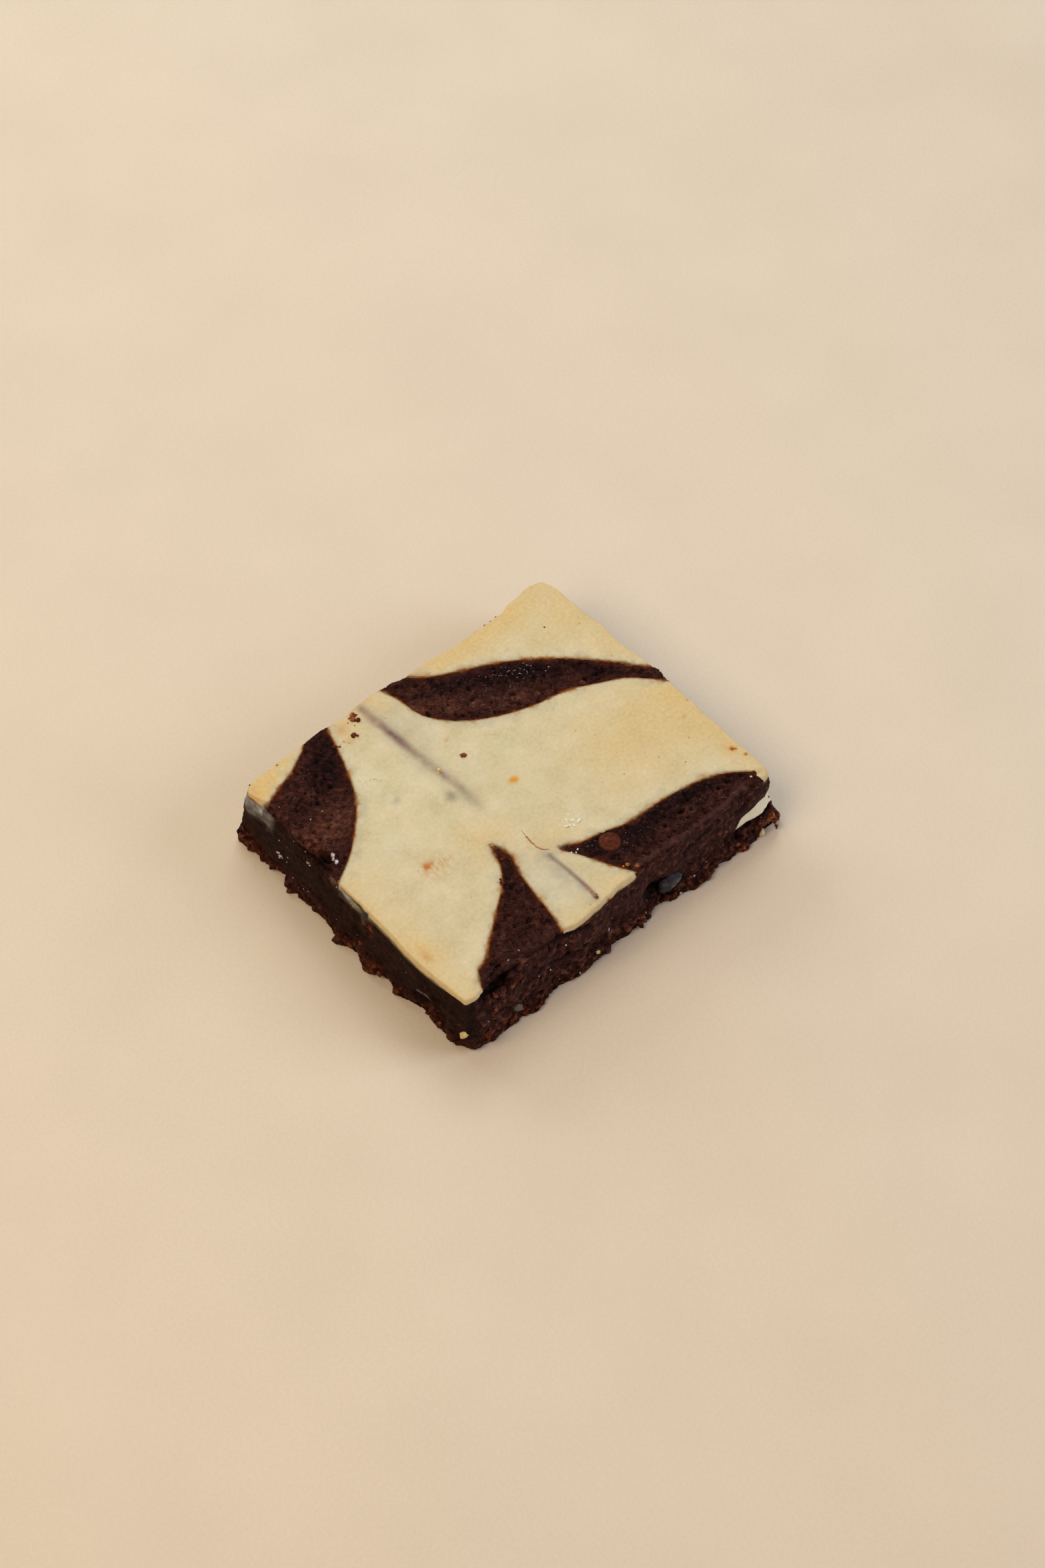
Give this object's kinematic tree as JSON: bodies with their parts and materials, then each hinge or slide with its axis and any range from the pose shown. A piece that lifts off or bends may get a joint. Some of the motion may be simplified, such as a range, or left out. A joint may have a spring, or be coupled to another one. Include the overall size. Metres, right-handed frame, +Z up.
{
  "type": "cheesecake brownie",
  "caption": "Rectangular cheesecake brownie: dark crumbly base, thin pale cheesecake layer and dark swirls drawn up through it to the top.",
  "frame": {"origin": "middle of the base, at the foot of the part's box", "axes": "+X along the long side, +Y along the short side, +Z up"},
  "size_m": [0.086, 0.0724, 0.0168],
  "materials": {
    "brownie": "matte moist crumb, very dark brown",
    "cheesecake_layer": "satin baked cheesecake, pale cream yellow",
    "melted_chip": "satin melted chocolate, reddish brown",
    "side_chip": "bloomed chocolate, grey brown"
  },
  "bodies": {
    "root": {"brownie": "brownie", "cheesecake_layer": "cheesecake_layer", "melted_chip": "melted_chip", "side_chip": "side_chip"}
  },
  "joints": []
}
